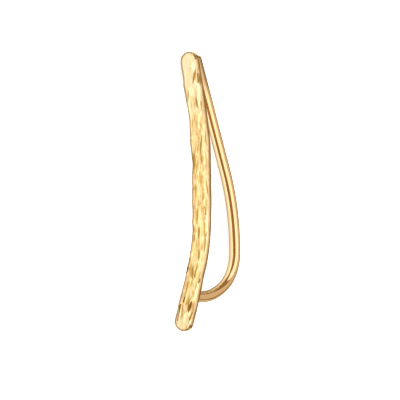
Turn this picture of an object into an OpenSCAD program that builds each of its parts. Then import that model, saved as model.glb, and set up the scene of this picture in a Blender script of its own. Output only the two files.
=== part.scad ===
// Ear climber: a hammered strip that lies along the ear's rim, with a spring wire behind it.
// One soldered piece. It lies on its side, as it would on a table, with the strip's ends
// and the wire's belly on the surface, the front towards -Y and the top end towards -X.

/* [Hammered bar] */
// Width of the bar across its front
bar_width = 1.62; // [1.4:0.02:2.2]
// Thickness of the bar from front to back
bar_thickness = 0.44; // [0.36:0.02:0.7]
// Straight stretch at the lower end, from the centre of the rounded tip to the bend
lower_straight = 3.8; // [2:0.1:6]
// Radius of the lower bend, on the bar's middle line
lower_bend_radius = 16.7; // [12:0.1:30]
// Angle that the lower bend turns through
lower_bend_angle = 16.4; // [8:0.2:22]
// Straight stretch between the bends
middle_straight = 3.1; // [1:0.1:6]
// Radius of the upper bend, on the bar's middle line
upper_bend_radius = 32.6; // [20:0.1:45]
// Angle that the upper bend turns through
upper_bend_angle = 10.4; // [5:0.2:16]
// Straight stretch at the upper end, from the bend to the centre of the rounded tip
upper_straight = 3.65; // [2:0.05:6]
// Worn bevel along the bar's edges
edge_bevel = 0.06; // [0.03:0.01:0.09]
// Depth of the deepest hammer marks
hammer_depth = 0.12; // [0.05:0.01:0.13]

/* [Ear wire] */
// Diameter of the round wire
wire_diameter = 0.9; // [0.7:0.05:1.1]
// Distance from the lower tip's centre to the wire's foot, along the bar
foot_distance = 2.05; // [1.4:0.05:3]
// Depth from the bar's front to the wire's middle line, where it stands furthest back
wire_depth = 6.26; // [5.6:0.02:8]
// Radius of the easy sweep where the wire leaves its straight foot
sweep_radius = 5.4; // [3:0.1:6.5]
// Angle that the easy sweep turns through
sweep_angle = 35; // [15:1:45]
// Radius of the heel that turns the wire up the ear
heel_radius = 3.2; // [2:0.1:4]
// Radius of the long bow above the heel
bow_radius = 16.8; // [12:0.2:30]
// Clear gap between the bar's back and the wire's free end
tip_gap = 0.18; // [0.1:0.02:0.8]
// Rounding of the rim of the wire's free end
tip_rounding = 0.25; // [0.1:0.05:0.3]
// Distance from the bar's upper end down to the centre of that rounding, on the bar's side
tip_setback = 0.7; // [0.5:0.05:3]
// Height of the solder fillet round the wire's foot
solder_height = 0.14; // [0.06:0.02:0.24]

/* [Hidden] */
$fn = 48;

gold = [0.95, 0.78, 0.42];
worn_gold = [0.86, 0.66, 0.32];

half_width = bar_width / 2;
wire_radius = wire_diameter / 2;

// Distances along the bar's middle line, from the lower tip's centre, at which its stretches end
bend_start = lower_straight;
bend_end = bend_start + lower_bend_radius * lower_bend_angle * PI / 180;
rise_start = bend_end + middle_straight;
rise_end = rise_start + upper_bend_radius * upper_bend_angle * PI / 180;
line_length = rise_end + upper_straight;
bar_length = line_length + bar_width;

// How finely the bar is drawn: steps along it, steps across its front, steps round each tip
ALONG_STEPS = 120;
ACROSS_STEPS = 14;
TIP_STEPS = 7;
// Half the angle that the flat nose of each rounded tip takes up
NOSE_ANGLE = 6;
// How finely the wire is drawn: sides round it, then steps along its solder and its stretches
WIRE_SIDES = 32;
SOLDER_STEPS = 5;
SWEEP_STEPS = 10;
HEEL_STEPS = 14;
BOW_STEPS = 14;
END_STEPS = 5;

// Wavy outline that the hammer left. Columns: place along the bar from the lower tip as a
// share of its length, then how far the hollow side and the bulging side stand out, as
// shares of half the bar's width.
OUTLINE = [
    [0.00, 0.00, 0.00],
    [0.10, 0.06, 0.04],
    [0.15, 0.03, 0.00],
    [0.21, 0.06, -0.07],
    [0.25, 0.10, -0.01],
    [0.30, -0.02, 0.01],
    [0.35, 0.08, 0.01],
    [0.40, 0.10, 0.02],
    [0.47, 0.10, 0.06],
    [0.54, 0.10, 0.01],
    [0.60, 0.10, 0.00],
    [0.63, 0.16, 0.03],
    [0.68, 0.15, 0.07],
    [0.72, 0.06, 0.02],
    [0.79, -0.03, 0.02],
    [0.86, 0.12, 0.01],
    [0.92, 0.00, 0.00],
    [1.00, 0.00, 0.00]
];

// Hammer marks, charted from the lower tip up. Columns: place along the bar as a share of its
// length, place across as a share of half its width (the bulging side is positive), half length
// and half width as shares of the bar's width, depth as a share of hammer_depth, and how far
// the mark is turned towards the bulging side, in degrees.
MARKS = [
    [0.020, 0.05, 0.50, 0.60, 0.5, 0],
    [0.020, 0.80, 0.40, 0.26, 0.6, -10],
    [0.045, 0.88, 0.60, 0.25, 0.7, 0],
    [0.050, 0.28, 0.70, 0.40, 0.6, 0],
    [0.056, -0.85, 0.60, 0.24, 0.5, 5],
    [0.064, -0.49, 0.90, 0.34, 1.0, 0],
    [0.081, -0.12, 0.70, 0.32, 0.6, 0],
    [0.088, 0.64, 0.85, 0.32, 1.0, 8],
    [0.104, 1.02, 0.70, 0.22, 0.5, 0],
    [0.115, -0.20, 0.90, 0.34, 0.9, 3],
    [0.120, -0.88, 0.60, 0.30, 0.7, 0],
    [0.138, 0.24, 0.50, 0.46, 0.5, 0],
    [0.138, 0.88, 0.60, 0.42, 0.6, 0],
    [0.140, -0.66, 0.60, 0.34, 0.7, 0],
    [0.172, 0.86, 0.70, 0.32, 0.6, 0],
    [0.174, 0.36, 0.60, 0.30, 0.8, 0],
    [0.174, -0.08, 0.70, 0.34, 0.7, 0],
    [0.176, -0.74, 0.80, 0.36, 0.8, -4],
    [0.194, 0.95, 0.60, 0.26, 0.8, 0],
    [0.208, 0.46, 0.70, 0.36, 0.7, 0],
    [0.218, -0.52, 0.80, 0.48, 1.0, 0],
    [0.236, -0.02, 0.60, 0.22, 0.6, 0],
    [0.240, 0.58, 0.70, 0.46, 0.6, 0],
    [0.252, -0.95, 0.60, 0.32, 0.9, 0],
    [0.262, -0.56, 0.50, 0.34, 0.6, 0],
    [0.272, 0.63, 0.80, 0.44, 0.7, -5],
    [0.280, -0.25, 0.70, 0.54, 0.8, 0],
    [0.318, 0.44, 0.90, 0.44, 0.7, 0],
    [0.319, -0.28, 0.70, 0.54, 0.6, 0],
    [0.328, 0.95, 1.20, 0.28, 0.9, 0],
    [0.358, -0.95, 1.00, 0.36, 1.0, 0],
    [0.362, -0.34, 0.80, 0.34, 0.9, 0],
    [0.373, 0.28, 0.90, 0.46, 0.7, 0],
    [0.411, 0.92, 1.00, 0.36, 0.9, -6],
    [0.429, 0.10, 0.90, 0.44, 0.6, 0],
    [0.430, -0.78, 1.00, 0.48, 0.9, 3],
    [0.458, 0.72, 1.00, 0.46, 0.7, -6],
    [0.464, -0.33, 0.50, 0.58, 0.5, 0],
    [0.485, -0.74, 0.60, 0.44, 0.7, 0],
    [0.487, 0.14, 0.60, 0.54, 0.7, 0],
    [0.503, 0.76, 0.70, 0.36, 0.7, 0],
    [0.517, -0.04, 0.70, 0.50, 0.6, 0],
    [0.521, -0.78, 0.60, 0.36, 0.8, 8],
    [0.531, 0.60, 0.50, 0.42, 0.8, 0],
    [0.550, -0.14, 0.70, 0.38, 0.9, 0],
    [0.553, -0.68, 0.70, 0.42, 0.7, 0],
    [0.564, 0.60, 0.80, 0.46, 0.6, 0],
    [0.584, 0.22, 0.60, 0.60, 0.6, 0],
    [0.610, -1.00, 1.15, 0.48, 1.0, 0],
    [0.620, -0.10, 0.80, 0.42, 0.7, 0],
    [0.623, 0.60, 0.80, 0.40, 0.8, 0],
    [0.658, -0.48, 0.60, 0.66, 0.5, 0],
    [0.673, 0.74, 0.90, 0.42, 0.7, 6],
    [0.686, -0.28, 0.50, 0.66, 0.7, 0],
    [0.715, -0.38, 0.60, 0.56, 0.5, 0],
    [0.719, 0.92, 0.90, 0.34, 0.8, 0],
    [0.740, 0.26, 0.60, 0.36, 0.6, 0],
    [0.755, -0.44, 0.85, 0.54, 0.8, 0],
    [0.758, 0.62, 0.80, 0.50, 0.7, 0],
    [0.782, 0.22, 0.75, 0.80, 0.5, 0],
    [0.819, -0.28, 0.80, 0.54, 0.8, 0],
    [0.820, 0.70, 0.65, 0.44, 0.7, 0],
    [0.852, -0.86, 0.80, 0.30, 0.8, 0],
    [0.857, 0.06, 0.90, 0.52, 0.6, 0],
    [0.862, 0.84, 0.80, 0.34, 0.7, 0],
    [0.890, 0.92, 0.80, 0.28, 0.8, 0],
    [0.905, 0.50, 0.80, 0.26, 0.7, 0],
    [0.913, -0.28, 1.05, 0.66, 0.8, 0],
    [0.945, 0.62, 0.60, 0.36, 0.6, 10],
    [0.968, -0.04, 0.85, 0.84, 0.5, 0]
];
// How much of its charted size a mark's bowl reaches, before its neighbours cut into it
BOWL_SPREAD = 0.66;

// Blends from one value to another with no corner at either end
function eased(from, to, share) = from + (to - from) * (1 - cos(180 * share)) / 2;

// Value in the given column of the wavy outline, at a share of the bar's length
function outline(share, column, row = 0) =
    row >= len(OUTLINE) - 2 || share <= OUTLINE[row + 1][0]
    ? eased(OUTLINE[row][column], OUTLINE[row + 1][column],
        (share - OUTLINE[row][0]) / (OUTLINE[row + 1][0] - OUTLINE[row][0]))
    : outline(share, column, row + 1);

function turned(point, angle) = [
    point.x * cos(angle) - point.y * sin(angle),
    point.x * sin(angle) + point.y * cos(angle)
];

// Middle line of the bar, with the middle stretch along the first axis and starting at zero
function bend_angle(distance) = (bend_end - distance) / lower_bend_radius * 180 / PI;
function rise_angle(distance) = (distance - rise_start) / upper_bend_radius * 180 / PI;
function on_lower_bend(angle) = -lower_bend_radius * [sin(angle), 1 - cos(angle)];
function on_upper_bend(angle) =
    [middle_straight + upper_bend_radius * sin(angle), -upper_bend_radius * (1 - cos(angle))];
function raw_lean(distance) =
    distance < bend_start ? lower_bend_angle
    : distance < bend_end ? bend_angle(distance)
    : distance < rise_start ? 0
    : distance < rise_end ? -rise_angle(distance)
    : -upper_bend_angle;
function raw_place(distance) =
    distance < bend_start
    ? on_lower_bend(lower_bend_angle)
        - (bend_start - distance) * [cos(lower_bend_angle), sin(lower_bend_angle)]
    : distance < bend_end ? on_lower_bend(bend_angle(distance))
    : distance < rise_start ? [distance - bend_end, 0]
    : distance < rise_end ? on_upper_bend(rise_angle(distance))
    : on_upper_bend(upper_bend_angle)
        + (distance - rise_end) * [cos(upper_bend_angle), -sin(upper_bend_angle)];

// The same line with the centres of both tips on the first axis, the lower one at zero
line_ends = raw_place(line_length) - raw_place(0);
chord = norm(line_ends);
chord_lean = atan2(line_ends.y, line_ends.x);
function place(distance) = turned(raw_place(distance) - raw_place(0), -chord_lean);
function lean(distance) = raw_lean(distance) - chord_lean;

// Depth that one hammer mark reaches at a place on the front, both in millimetres
function mark_depth(mark, along, across) =
    let (
        offset = turned([along - mark[0] * bar_length, across - mark[1] * half_width], -mark[5]),
        reach = BOWL_SPREAD * bar_width * [mark[2], mark[3]]
    )
    mark[4] * hammer_depth * (1 - (offset.x / reach.x) ^ 2 - (offset.y / reach.y) ^ 2);
function front_depth(along, across) =
    max(0, max([for (mark = MARKS) mark_depth(mark, along, across)]));

// Stations along the bar: distance on the middle line, then how far beyond it and how far to
// the sides the outline lies there, as shares of half the width
tip_turns = [for (step = [0 : TIP_STEPS - 1]) NOSE_ANGLE + step * (90 - NOSE_ANGLE) / TIP_STEPS];
STATIONS = concat(
    [for (turn = tip_turns) [0, -cos(turn), sin(turn)]],
    [for (step = [0 : ALONG_STEPS]) [step / ALONG_STEPS * line_length, 0, 1]],
    [for (step = [TIP_STEPS - 1 : -1 : 0]) [line_length, cos(tip_turns[step]), sin(tip_turns[step])]]
);

// Point of the bar at a station: inset from the outline, place across as a share of what is
// left (-1 on the hollow side, 1 on the bulging side), and depth below the front's top
function station_along(station, inset) = station[0] + station[1] * (half_width - inset);
function station_across(station, inset, share) =
    let (
        along = (station[0] + half_width) / bar_length,
        stand_out = outline(along, share < 0 ? 1 : 2)
    )
    share * station[2] * (half_width * (1 + stand_out * abs(share)) - inset);
function bar_point(station, inset, share, depth) =
    let (
        here = place(station[0])
            + turned([station[1] * (half_width - inset), station_across(station, inset, share)],
                lean(station[0]))
    )
    [depth, here.x, here.y];
function dent(station, inset, share) =
    front_depth(half_width + station_along(station, inset), station_across(station, inset, share));

// One ring of points round the bar at a station
function ring(station) =
    let (
        rim = [for (share = [-1, 1]) dent(station, edge_bevel, share)],
        back = bar_thickness
    )
    concat(
        [for (step = [0 : ACROSS_STEPS])
            let (share = 2 * step / ACROSS_STEPS - 1)
            bar_point(station, edge_bevel, share, dent(station, edge_bevel, share))],
        [
            bar_point(station, 0, 1, rim[1] + edge_bevel),
            bar_point(station, 0, 1, back - edge_bevel),
            bar_point(station, edge_bevel, 1, back),
            bar_point(station, edge_bevel, -1, back),
            bar_point(station, 0, -1, back - edge_bevel),
            bar_point(station, 0, -1, rim[0] + edge_bevel)
        ]
    );

// Closed skin over a row of rings with as many points each, and a nose point beyond each end
module skin(rings, noses) {
    sides = len(rings[0]);
    last_ring = len(rings) - 1;
    low_nose = len(rings) * sides;
    high_nose = low_nose + 1;
    walls = [
        for (row = [0 : last_ring - 1], step = [0 : sides - 1])
            let (
                next = (step + 1) % sides,
                a = row * sides + step,
                b = row * sides + next,
                c = b + sides,
                d = a + sides
            )
            each [[a, c, b], [a, d, c]]
    ];
    low_cap = [for (step = [0 : sides - 1]) [low_nose, step, (step + 1) % sides]];
    high_cap = [
        for (step = [0 : sides - 1])
            [high_nose, last_ring * sides + (step + 1) % sides, last_ring * sides + step]
    ];
    polyhedron(
        points = concat([for (row = rings) each row], noses),
        faces = concat(walls, low_cap, high_cap)
    );
}

// The hammered strip, front face at X = 0 and back at its thickness, running along Y
module hammered_bar() {
    noses = [
        for (station = [STATIONS[0], STATIONS[len(STATIONS) - 1]])
            bar_point(station, 0, 0, bar_thickness / 2)
    ];
    color(gold)
        skin([for (station = STATIONS) ring(station)], noses);
}

// The wire lies in a plane through the bar's middle line at its foot and the upper tip's
// centre. In that plane the first axis runs back from the bar's front and the second runs up
// from the foot.
foot = place(foot_distance);
foot_to_tip = place(line_length) - foot;
wire_turn = atan2(foot_to_tip.y, foot_to_tip.x);
upper_reach = norm(foot_to_tip) + half_width;

sweep_start = wire_depth - sweep_radius * sin(sweep_angle) - heel_radius * (1 - sin(sweep_angle));
sweep_centre = [sweep_start, sweep_radius];
heel_centre = [
    wire_depth - heel_radius,
    sweep_radius * (1 - cos(sweep_angle)) + heel_radius * cos(sweep_angle)
];
bow_centre = [wire_depth - bow_radius, heel_centre.y];

// The free end's round nearest the bar sets how far the bow turns before the wire runs straight
tip_flat = wire_radius - tip_rounding;
tip_round = [bar_thickness + tip_gap + tip_rounding, upper_reach - tip_setback];
round_from_bow = tip_round - bow_centre;
bow_angle = atan2(round_from_bow.y, round_from_bow.x)
    - acos((bow_radius - tip_flat) / norm(round_from_bow));
bow_end = bow_centre + bow_radius * [cos(bow_angle), sin(bow_angle)];
straight_length = (tip_round - bow_end) * [-sin(bow_angle), cos(bow_angle)] + tip_rounding;

// The solder spreads out on the bar's back as far as it climbs the wire, clear of the edges
NARROWEST_SIDE = 0.9;
solder_reach = min(solder_height, NARROWEST_SIDE * half_width - edge_bevel - wire_radius);

// Places on the heel and the bow, where the lying piece can meet the surface
BELLY_STEPS = 90;
belly = [
    for (step = [-BELLY_STEPS : BELLY_STEPS])
        let (
            share = step / BELLY_STEPS,
            turn = share < 0 ? -share * (sweep_angle - 90) : share * bow_angle
        )
        share < 0
        ? heel_centre + heel_radius * [cos(turn), sin(turn)]
        : bow_centre + bow_radius * [cos(turn), sin(turn)]
];
// Each place again, as distance behind the bar's lower back edge and height above it
corner = bar_thickness - edge_bevel;
belly_seats = [for (spot = belly) [spot.x - corner, half_width + foot.y + spot.y * sin(wire_turn)]];
// The piece leans back about the bar's ends until the wire's belly comes down to the surface
rest_tilt = min([
    for (seat = belly_seats) atan2(seat.y, seat.x) - asin(wire_radius / norm(seat))
]);
front_reach = edge_bevel * sin(rest_tilt) - corner * cos(rest_tilt);
back_reach = wire_radius
    + max([for (seat = belly_seats) seat.x * cos(rest_tilt) + seat.y * sin(rest_tilt)]);

// Stations along the wire: place in the wire's plane, direction of travel and radius
function arc_stations(centre, radius, start, turn, steps) = [
    for (step = [1 : steps])
        let (angle = start + turn * step / steps)
        [centre + radius * [cos(angle), sin(angle)], angle + 90, wire_radius]
];
solder_stations = [
    for (step = [1 : SOLDER_STEPS])
        let (share = step / SOLDER_STEPS)
        [[bar_thickness + share * solder_height, 0], 0,
            wire_radius + solder_reach * (1 - sin(90 * share))]
];
end_stations = [
    for (step = [0 : END_STEPS])
        let (
            turn = 90 * step / END_STEPS,
            distance = straight_length - tip_rounding * (1 - sin(turn))
        )
        [bow_end + distance * [-sin(bow_angle), cos(bow_angle)], bow_angle + 90,
            tip_flat + tip_rounding * cos(turn)]
];
wire_stations = concat(
    [[[bar_thickness / 2, 0], 0, wire_radius + solder_reach]],
    solder_stations,
    [[[sweep_start, 0], 0, wire_radius]],
    arc_stations(sweep_centre, sweep_radius, -90, sweep_angle, SWEEP_STEPS),
    arc_stations(heel_centre, heel_radius, sweep_angle - 90, 90 - sweep_angle, HEEL_STEPS),
    arc_stations(bow_centre, bow_radius, 0, bow_angle, BOW_STEPS),
    end_stations
);

function wire_ring(station) = [
    for (step = [0 : WIRE_SIDES - 1])
        let (
            angle = 360 * (step + 0.5) / WIRE_SIDES,
            sideways = station[2] * cos(angle) * [-sin(station[1]), cos(station[1])]
        )
        concat(station[0] + sideways, station[2] * sin(angle))
];

// Round wire from the middle of the bar's thickness, through its solder, to the free end
module ear_wire() {
    ends = [wire_stations[0], wire_stations[len(wire_stations) - 1]];
    color(worn_gold)
        skin([for (station = wire_stations) wire_ring(station)], [for (end = ends) concat(end[0], 0)]);
}

// Lays the piece on its side, with the middle of its outline at the origin
module laid_down() {
    translate([0, -(front_reach + back_reach) / 2, 0])
        rotate([-rest_tilt, 0, 0])
            translate([chord / 2, -corner, half_width])
                rotate([0, 0, 90])
                    children();
}

module climber() {
    laid_down() {
        hammered_bar();
        translate([0, foot.x, foot.y])
            rotate([wire_turn, 0, 0])
                ear_wire();
    }
}

climber();
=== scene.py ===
"""Looks of a hammered ear climber: a bent, hammered strip and the spring wire behind it.

Laid out as a Blender add-on and run as a script. Sizes are in metres and angles in radians.
"""
import math

import bmesh
import bpy
from bpy.props import FloatProperty, FloatVectorProperty, PointerProperty
from mathutils import Matrix, Vector


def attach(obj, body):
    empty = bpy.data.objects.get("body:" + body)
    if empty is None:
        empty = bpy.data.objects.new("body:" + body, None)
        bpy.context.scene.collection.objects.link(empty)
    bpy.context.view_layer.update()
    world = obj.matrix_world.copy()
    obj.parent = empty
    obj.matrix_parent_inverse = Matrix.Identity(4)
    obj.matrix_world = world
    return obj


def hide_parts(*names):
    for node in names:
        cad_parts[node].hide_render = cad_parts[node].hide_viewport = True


bl_info = {
    "name": "Hammered ear climber",
    "version": (1, 0, 0),
    "blender": (4, 5, 0),
    "location": "3D View > Sidebar > Climber",
    "description": "Makes a hammered gold ear climber and the stage it lies on",
    "category": "Object",
}

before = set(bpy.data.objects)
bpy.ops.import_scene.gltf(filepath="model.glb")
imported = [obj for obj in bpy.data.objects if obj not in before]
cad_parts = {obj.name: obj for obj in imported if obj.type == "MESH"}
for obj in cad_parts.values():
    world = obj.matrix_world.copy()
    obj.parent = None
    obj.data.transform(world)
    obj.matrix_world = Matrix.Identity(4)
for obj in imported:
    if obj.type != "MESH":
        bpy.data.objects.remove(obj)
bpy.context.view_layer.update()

MM = 0.001
QUARTER = math.pi / 2
NODE = "climber"
BODY = "root"

# Wavy outline that the hammer left. Columns: place along the bar from the lower tip as a share
# of its length, then how far the hollow side and the bulging side stand out, as shares of half
# the bar's width.
OUTLINE = [
    (0.00, 0.00, 0.00),
    (0.10, 0.06, 0.04),
    (0.15, 0.03, 0.00),
    (0.21, 0.06, -0.07),
    (0.25, 0.10, -0.01),
    (0.30, -0.02, 0.01),
    (0.35, 0.08, 0.01),
    (0.40, 0.10, 0.02),
    (0.47, 0.10, 0.06),
    (0.54, 0.10, 0.01),
    (0.60, 0.10, 0.00),
    (0.63, 0.16, 0.03),
    (0.68, 0.15, 0.07),
    (0.72, 0.06, 0.02),
    (0.79, -0.03, 0.02),
    (0.86, 0.12, 0.01),
    (0.92, 0.00, 0.00),
    (1.00, 0.00, 0.00),
]

# Hammer marks, charted from the lower tip up. Columns: place along the bar as a share of its
# length, place across as a share of half its width (the bulging side is positive), half length
# and half width as shares of the bar's width, depth as a share of the deepest, and how far the
# mark is turned towards the bulging side, in degrees.
MARKS = [
    (0.020, 0.05, 0.50, 0.60, 0.5, 0),
    (0.020, 0.80, 0.40, 0.26, 0.6, -10),
    (0.045, 0.88, 0.60, 0.25, 0.7, 0),
    (0.050, 0.28, 0.70, 0.40, 0.6, 0),
    (0.056, -0.85, 0.60, 0.24, 0.5, 5),
    (0.064, -0.49, 0.90, 0.34, 1.0, 0),
    (0.081, -0.12, 0.70, 0.32, 0.6, 0),
    (0.088, 0.64, 0.85, 0.32, 1.0, 8),
    (0.104, 1.02, 0.70, 0.22, 0.5, 0),
    (0.115, -0.20, 0.90, 0.34, 0.9, 3),
    (0.120, -0.88, 0.60, 0.30, 0.7, 0),
    (0.138, 0.24, 0.50, 0.46, 0.5, 0),
    (0.138, 0.88, 0.60, 0.42, 0.6, 0),
    (0.140, -0.66, 0.60, 0.34, 0.7, 0),
    (0.172, 0.86, 0.70, 0.32, 0.6, 0),
    (0.174, 0.36, 0.60, 0.30, 0.8, 0),
    (0.174, -0.08, 0.70, 0.34, 0.7, 0),
    (0.176, -0.74, 0.80, 0.36, 0.8, -4),
    (0.194, 0.95, 0.60, 0.26, 0.8, 0),
    (0.208, 0.46, 0.70, 0.36, 0.7, 0),
    (0.218, -0.52, 0.80, 0.48, 1.0, 0),
    (0.236, -0.02, 0.60, 0.22, 0.6, 0),
    (0.240, 0.58, 0.70, 0.46, 0.6, 0),
    (0.252, -0.95, 0.60, 0.32, 0.9, 0),
    (0.262, -0.56, 0.50, 0.34, 0.6, 0),
    (0.272, 0.63, 0.80, 0.44, 0.7, -5),
    (0.280, -0.25, 0.70, 0.54, 0.8, 0),
    (0.318, 0.44, 0.90, 0.44, 0.7, 0),
    (0.319, -0.28, 0.70, 0.54, 0.6, 0),
    (0.328, 0.95, 1.20, 0.28, 0.9, 0),
    (0.358, -0.95, 1.00, 0.36, 1.0, 0),
    (0.362, -0.34, 0.80, 0.34, 0.9, 0),
    (0.373, 0.28, 0.90, 0.46, 0.7, 0),
    (0.411, 0.92, 1.00, 0.36, 0.65, -6),
    (0.429, 0.10, 0.90, 0.44, 0.6, 0),
    (0.430, -0.78, 1.00, 0.48, 0.9, 3),
    (0.458, 0.72, 1.00, 0.46, 0.7, -6),
    (0.464, -0.33, 0.50, 0.58, 0.5, 0),
    (0.485, -0.74, 0.60, 0.44, 0.7, 0),
    (0.487, 0.14, 0.60, 0.54, 0.7, 0),
    (0.503, 0.76, 0.70, 0.36, 0.7, 0),
    (0.517, -0.04, 0.70, 0.50, 0.6, 0),
    (0.521, -0.78, 0.60, 0.36, 0.8, 8),
    (0.531, 0.60, 0.50, 0.42, 0.8, 0),
    (0.550, -0.14, 0.70, 0.38, 0.9, 0),
    (0.553, -0.68, 0.70, 0.42, 0.7, 0),
    (0.564, 0.60, 0.80, 0.46, 0.6, 0),
    (0.584, 0.22, 0.60, 0.60, 0.6, 0),
    (0.610, -1.00, 1.15, 0.48, 1.0, 0),
    (0.620, -0.10, 0.80, 0.42, 0.7, 0),
    (0.623, 0.60, 0.80, 0.40, 0.8, 0),
    (0.658, -0.48, 0.60, 0.66, 0.5, 0),
    (0.673, 0.74, 0.90, 0.42, 0.7, 6),
    (0.686, -0.28, 0.50, 0.66, 0.7, 0),
    (0.715, -0.38, 0.60, 0.56, 0.5, 0),
    (0.719, 0.92, 0.90, 0.34, 0.5, 0),
    (0.740, 0.26, 0.60, 0.36, 0.6, 0),
    (0.755, -0.44, 0.85, 0.54, 0.8, 0),
    (0.758, 0.62, 0.80, 0.50, 0.7, 0),
    (0.782, 0.22, 0.75, 0.80, 0.5, 0),
    (0.819, -0.28, 0.80, 0.54, 0.8, 0),
    (0.820, 0.70, 0.65, 0.44, 0.7, 0),
    (0.852, -0.86, 0.80, 0.30, 0.8, 0),
    (0.857, 0.06, 0.90, 0.52, 0.6, 0),
    (0.862, 0.84, 0.80, 0.34, 0.7, 0),
    (0.890, 0.92, 0.80, 0.28, 0.8, 0),
    (0.905, 0.50, 0.80, 0.26, 0.7, 0),
    (0.913, -0.28, 1.05, 0.66, 0.8, 0),
    (0.945, 0.62, 0.60, 0.36, 0.6, 10),
    (0.968, -0.04, 0.85, 0.84, 0.5, 0),
]
# How much of its charted size a mark's bowl reaches, before its neighbours cut into it
BOWL_SPREAD = 0.66

# Narrow creases that the hammer's edge left across the bowls, charted from the lower tip up.
# The first four columns are those of the marks; then how strong the crease is, and how far it is
# turned towards the bulging side, in degrees.
CREASES = [
    (0.022, 0.57, 0.12, 0.045, 0.6, 10),
    (0.063, 0.75, 0.20, 0.056, 1.0, 3),
    (0.068, -0.47, 0.32, 0.056, 0.5, -13),
    (0.093, 0.65, 0.30, 0.120, 0.3, -4),
    (0.100, 0.19, 0.30, 0.056, 0.7, -2),
    (0.122, -0.52, 0.25, 0.056, 0.4, -3),
    (0.140, 0.53, 0.15, 0.056, 0.3, -8),
    (0.161, -0.51, 0.30, 0.056, 0.7, -2),
    (0.168, 0.53, 0.17, 0.045, 0.4, -8),
    (0.192, 0.77, 0.17, 0.038, 0.7, 1),
    (0.211, -0.26, 0.30, 0.070, 0.9, -15),
    (0.219, -0.52, 0.30, 0.125, 0.4, -8),
    (0.229, 0.12, 0.27, 0.056, 0.8, 2),
    (0.247, -0.94, 0.25, 0.075, 0.6, 0),
    (0.280, 0.11, 0.27, 0.062, 0.8, -10),
    (0.312, 0.26, 0.20, 0.050, 0.3, -7),
    (0.323, 0.68, 0.45, 0.045, 0.9, -3),
    (0.337, -0.70, 0.22, 0.062, 0.7, -3),
    (0.355, -0.17, 0.30, 0.070, 0.9, -4),
    (0.369, -0.87, 0.20, 0.075, 0.6, -10),
    (0.400, 0.38, 0.35, 0.060, 0.25, 1),
    (0.419, -0.39, 0.40, 0.056, 0.8, 1),
    (0.434, 0.60, 0.22, 0.038, 0.6, -14),
    (0.484, 0.26, 0.20, 0.056, 0.4, 0),
    (0.484, -0.08, 0.15, 0.050, 0.3, 0),
    (0.513, 0.80, 0.35, 0.045, 0.7, -7),
    (0.513, -0.59, 0.22, 0.070, 0.5, -6),
    (0.545, 0.08, 0.30, 0.075, 0.5, 1),
    (0.556, -0.70, 0.22, 0.065, 0.4, 0),
    (0.593, -0.37, 0.25, 0.055, 0.5, 6),
    (0.606, -0.83, 0.50, 0.120, 0.9, 6),
    (0.615, 0.20, 0.25, 0.090, 0.5, -2),
    (0.663, 0.17, 0.45, 0.050, 1.0, 12),
    (0.688, 0.80, 0.45, 0.045, 0.6, 3),
    (0.742, -0.10, 0.22, 0.070, 0.4, 6),
    (0.808, 0.72, 0.15, 0.050, 0.6, 4),
    (0.817, 0.25, 0.30, 0.062, 0.8, -1),
    (0.849, -0.66, 0.25, 0.056, 0.5, 14),
    (0.898, 0.91, 0.32, 0.056, 0.9, -2),
    (0.910, 0.41, 0.35, 0.070, 0.8, 22),
]
# How many times its charted size a crease reaches
CREASE_SPREAD = 1.35


def amount(name, description, default, **more):
    return FloatProperty(name=name, description=description, default=default, min=0.0, **more)


def length(name, description, millimetres):
    return amount(name, description, millimetres * MM, unit="LENGTH", precision=6)


def angle(name, description, degrees):
    return amount(name, description, math.radians(degrees), subtype="ANGLE")


def share(name, description, default):
    return amount(name, description, default, max=1.0, subtype="FACTOR")


def tint(name, description, default):
    return FloatVectorProperty(name=name, description=description, default=default, size=3,
                               min=0.0, max=1.0, subtype="COLOR")


class ClimberBar(bpy.types.PropertyGroup):
    """Sizes of the hammered strip."""
    width: length("Width", "Width of the strip across its front", 1.62)
    thickness: length("Thickness", "Thickness from front to back", 0.44)
    lower_straight: length("Lower straight", "Straight stretch at the lower end", 3.8)
    lower_bend_radius: length("Lower bend radius", "Radius of the lower bend", 16.7)
    lower_bend_angle: angle("Lower bend", "Angle that the lower bend turns through", 16.4)
    middle_straight: length("Middle straight", "Straight stretch between the bends", 3.1)
    upper_bend_radius: length("Upper bend radius", "Radius of the upper bend", 32.6)
    upper_bend_angle: angle("Upper bend", "Angle that the upper bend turns through", 10.4)
    upper_straight: length("Upper straight", "Straight stretch at the upper end", 3.65)
    edge_radius: length("Edge radius", "Worn rounding along the strip's edges", 0.06)
    hammer_depth: length("Hammer depth", "Depth of the deepest hammer marks", 0.12)
    rim_softness: length("Rim softness", "Rounding of the ridges between marks", 0.008)
    crease_depth: length("Crease depth", "Depth of the deepest crease in the marks", 0.018)
    unevenness: length("Unevenness", "Height of the small unevenness within the marks", 0.025)


class ClimberWire(bpy.types.PropertyGroup):
    """Sizes of the ear wire."""
    diameter: length("Diameter", "Thickness of the round wire", 0.9)
    foot_distance: length("Foot distance", "From the lower tip's centre to the foot", 2.05)
    depth: length("Depth", "From the front to the wire's middle, where furthest back", 6.26)
    sweep_radius: length("Sweep radius", "Radius of the easy sweep above the foot", 5.4)
    sweep_angle: angle("Sweep", "Angle that the easy sweep turns through", 35)
    heel_radius: length("Heel radius", "Radius of the heel that turns the wire up", 3.2)
    bow_radius: length("Bow radius", "Radius of the long bow above the heel", 16.8)
    tip_gap: length("Tip gap", "Clear gap between the strip's back and the free end", 0.18)
    tip_rounding: length("Tip rounding", "Rounding of the free end's rim", 0.25)
    tip_setback: length("Tip setback", "From the strip's upper end to that rounding", 0.7)
    solder_height: length("Solder height", "How far the solder climbs the wire", 0.14)


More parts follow.
